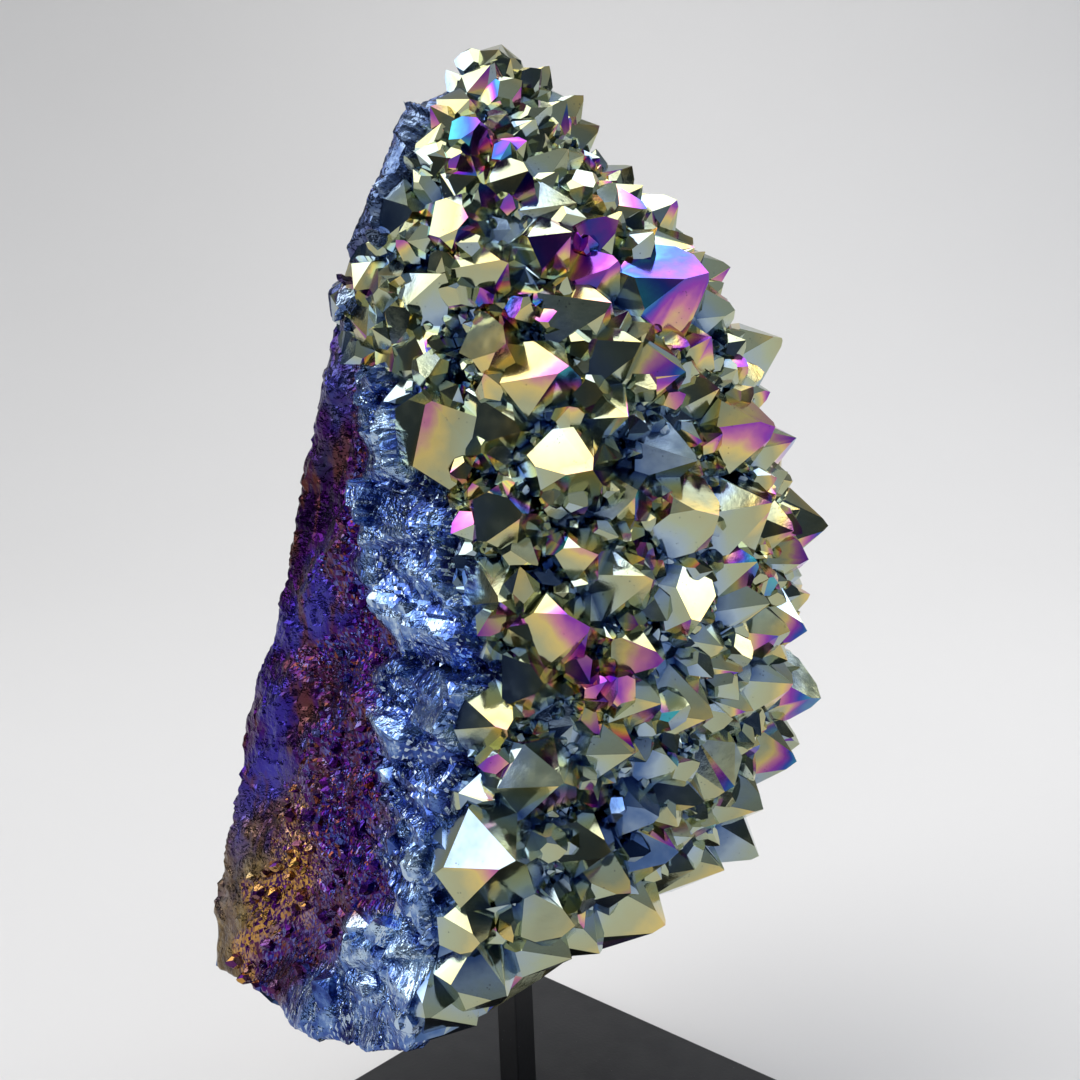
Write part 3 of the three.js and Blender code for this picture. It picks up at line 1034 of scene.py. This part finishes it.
class CLUSTER_OT_stone(Operator):
    """Build the coated stone over its CAD solid: fine rock, large points and small points"""

    bl_idname = "cluster.stone"
    bl_label = "Coated Stone"

    def execute(self, context):
        c = context.scene.cluster_settings
        rng = random.Random(c.seed)
        noise.seed_set(c.seed + 1)
        stone = merged_stone()
        tree = BVHTree.FromBMesh(stone)
        low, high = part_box(STONE)
        middle = Vector((0, 0, (low.z + high.z) / 2 - BALL_DROP))
        skin = smooth_skin(tree, middle)
        surface = Surface(stone, rng)
        rock = rock_body(tree, skin, middle, c.rock_relief)

        bmesh.ops.dissolve_limit(
            stone, angle_limit=FLAT_ANGLE, use_dissolve_boundaries=False,
            verts=stone.verts, edges=stone.edges,
        )
        whole = new_object("coated_stone", mesh_from(rock, "coated_stone"))
        number = mark(whole.data, ROCK, 0)
        points = new_object("points", mesh_from(stone, "points"))
        number = mark(points.data, MAIN, number)
        worn_edges(points.data, c.edge_wear)
        combined(whole, points, "UNION")

        templates = [quartz_template(c.seed + i) for i in range(POINT_SHAPES)]
        splinters = [broken_template(c.seed + i) for i in range(SPLINTER_SHAPES)]
        scatter = small_points(surface, skin, c, rng)
        for members in scatter.batches():
            batch, number = batch_object(scatter, members, templates, splinters, number, rng)
            combined(whole, batch, "UNION")
        for shape in templates + splinters:
            bpy.data.meshes.remove(shape)

        drill(whole)
        drop_crumbs(whole.data)
        whole.data.materials.clear()
        whole.data.materials.append(crystal_coating(c))
        whole.data.materials.append(rock_coating())
        stone_values(whole.data, skin, c.seed)
        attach(whole, "root")
        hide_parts(STONE)
        return {"FINISHED"}


class CLUSTER_OT_stand(Operator):
    """Paint the post and the base plate satin black and soften their edges"""

    bl_idname = "cluster.stand"
    bl_label = "Black Stand"

    def execute(self, context):
        s = context.scene.stand_settings
        paint = black_paint(s)
        for name in ("post", "base_plate"):
            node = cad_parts[name]
            node.data.materials.clear()
            node.data.materials.append(paint)
            weld = node.modifiers.new("weld", "WELD")
            weld.merge_threshold = SAME_PLACE
            soft = node.modifiers.new("soft_edges", "BEVEL")
            soft.width = s.edge_radius
            soft.segments = 3
            soft.limit_method = "ANGLE"
            soft.angle_limit = math.radians(30)
            soft.harden_normals = True
        return {"FINISHED"}


class CLUSTER_OT_stage(Operator):
    """Set up the pale floor, the soft lights and the camera"""

    bl_idname = "cluster.stage"
    bl_label = "Stage"

    def execute(self, context):
        s = context.scene.stage_settings
        right = Vector((math.cos(s.azimuth), math.sin(s.azimuth), 0))
        ahead = Vector((-math.sin(s.azimuth), math.cos(s.azimuth), 0))
        self.floor(s, right, ahead)
        self.camera(context, s, right, ahead)
        self.lights(right, ahead)
        self.world(context)
        context.scene.view_settings.view_transform = "Standard"
        return {"FINISHED"}

    def floor(self, s, right, ahead):
        bm = bmesh.new()
        bmesh.ops.create_grid(bm, x_segments=1, y_segments=1, size=1)
        for v in bm.verts:
            end = FLOOR_NEAR if v.co.y < 0 else FLOOR_FAR
            v.co = right * (v.co.x * FLOOR_HALF_WIDTH) + ahead * end
        rim = [e for e in bm.edges if all(v.co.dot(ahead) > 0 for v in e.verts)]
        for i in range(BEND_STEPS):
            out = bmesh.ops.extrude_edge_only(bm, edges=rim)
            rim = [g for g in out["geom"] if isinstance(g, bmesh.types.BMEdge)]
            verts = [g for g in out["geom"] if isinstance(g, bmesh.types.BMVert)]
            a, b = i / BEND_STEPS * math.pi / 2, (i + 1) / BEND_STEPS * math.pi / 2
            move = ahead * BEND_RADIUS * (math.sin(b) - math.sin(a))
            move += Vector((0, 0, BEND_RADIUS * (math.cos(a) - math.cos(b))))
            bmesh.ops.translate(bm, verts=verts, vec=move)
        out = bmesh.ops.extrude_edge_only(bm, edges=rim)
        verts = [g for g in out["geom"] if isinstance(g, bmesh.types.BMVert)]
        bmesh.ops.translate(bm, verts=verts, vec=(0, 0, BACKDROP_HEIGHT))
        bmesh.ops.recalc_face_normals(bm, faces=bm.faces)
        for face in bm.faces:
            face.smooth = True
        sweep = new_object("floor", mesh_from(bm, "floor"))
        sweep.data.materials.append(pale_surface(s))

    def camera(self, context, s, right, ahead):
        forward = ahead * math.cos(s.pitch) - Vector((0, 0, math.sin(s.pitch)))
        down = -Vector((0, 0, math.cos(s.pitch))) - ahead * math.sin(s.pitch)
        across = (right + down * s.roll).normalized()
        below = (down - right * s.roll).normalized()
        data = bpy.data.cameras.new("camera")
        data.lens = s.lens
        data.sensor_width = 36
        camera = new_object("camera", data)
        turn = Matrix((across, -below, -forward)).transposed().to_4x4()
        camera.matrix_world = Matrix.Translation(s.place) @ turn
        context.scene.camera = camera

    def lights(self, right, ahead):
        up = Vector((0, 0, 1))
        stone = Vector((0, 0, 0.2))
        backdrop = ahead * 1.6 + up * 0.4
        for name, place, target, size, power in (
            ("left_softbox", right * -1.3 - ahead * 0.3 + up * 1.7, stone, (1.75, 2.3), 31),
            ("top_softbox", right * 0.2 + ahead * 0.4 + up * 2.2, stone, (2.2, 1.2), 19),
            ("right_strip", right * 1.8 + ahead * 0.2 + up * 1.0, stone, (0.35, 1.3), 5),
            ("backdrop_wash", right * 0.4 + ahead * 0.9 + up * 1.9, backdrop, (1.6, 0.6), 3.5),
        ):
            data = bpy.data.lights.new(name, "AREA")
            data.shape = "RECTANGLE"
            data.size, data.size_y = size
            data.energy = power
            lamp = new_object(name, data)
            lamp.location = place
            lamp.rotation_euler = (target - place).to_track_quat("-Z", "Y").to_euler()

    def world(self, context):
        world = bpy.data.worlds.new("studio")
        world.use_nodes = True
        context.scene.world = world
        nodes, links = world.node_tree.nodes, world.node_tree.links
        coords = nodes.new("ShaderNodeTexCoord")
        split = nodes.new("ShaderNodeSeparateXYZ")
        links.new(coords.outputs["Generated"], split.inputs[0])
        ramp = nodes.new("ShaderNodeValToRGB")
        span = nodes.new("ShaderNodeMapRange")
        links.new(split.outputs["Z"], span.inputs["Value"])
        span.inputs["From Min"].default_value = -1
        span.inputs["From Max"].default_value = 1
        links.new(span.outputs["Result"], ramp.inputs["Fac"])
        elements = ramp.color_ramp.elements
        elements[0].position, elements[0].color = 0.45, (0.018, 0.025, 0.040, 1)
        elements[1].position, elements[1].color = 0.85, (0.40, 0.45, 0.53, 1)
        mid = elements.new(0.62)
        mid.color = (0.054, 0.068, 0.094, 1)
        seen = nodes.new("ShaderNodeLightPath")
        pale = nodes.new("ShaderNodeMix")
        pale.data_type = "RGBA"
        links.new(seen.outputs["Is Camera Ray"], pale.inputs["Factor"])
        links.new(ramp.outputs["Color"], pale.inputs[MIX_A])
        pale.inputs[MIX_B].default_value = (0.55, 0.55, 0.55, 1)
        links.new(pale.outputs[MIX_RESULT], nodes["Background"].inputs["Color"])
        nodes["Background"].inputs["Strength"].default_value = 1.0


class CLUSTER_PT_panel(Panel):
    """Steps and sizes of the cluster"""

    bl_idname = "CLUSTER_PT_panel"
    bl_label = "Cluster on Stand"
    bl_space_type = "VIEW_3D"
    bl_region_type = "UI"
    bl_category = "Cluster"

    def draw(self, context):
        layout = self.layout
        for operator, settings in (
            (CLUSTER_OT_stone, context.scene.cluster_settings),
            (CLUSTER_OT_stand, context.scene.stand_settings),
            (CLUSTER_OT_stage, context.scene.stage_settings),
        ):
            box = layout.box()
            box.operator(operator.bl_idname)
            for name in settings.__annotations__:
                box.prop(settings, name)


CLASSES = (
    ClusterSettings,
    StandSettings,
    StageSettings,
    CLUSTER_OT_stone,
    CLUSTER_OT_stand,
    CLUSTER_OT_stage,
    CLUSTER_PT_panel,
)


def register():
    for cls in CLASSES:
        bpy.utils.register_class(cls)
    bpy.types.Scene.cluster_settings = PointerProperty(type=ClusterSettings)
    bpy.types.Scene.stand_settings = PointerProperty(type=StandSettings)
    bpy.types.Scene.stage_settings = PointerProperty(type=StageSettings)


def unregister():
    del bpy.types.Scene.stage_settings
    del bpy.types.Scene.stand_settings
    del bpy.types.Scene.cluster_settings
    for cls in reversed(CLASSES):
        bpy.utils.unregister_class(cls)


def main():
    register()
    bpy.ops.cluster.stone()
    bpy.ops.cluster.stand()
    bpy.ops.cluster.stage()


if __name__ == "__main__":
    main()
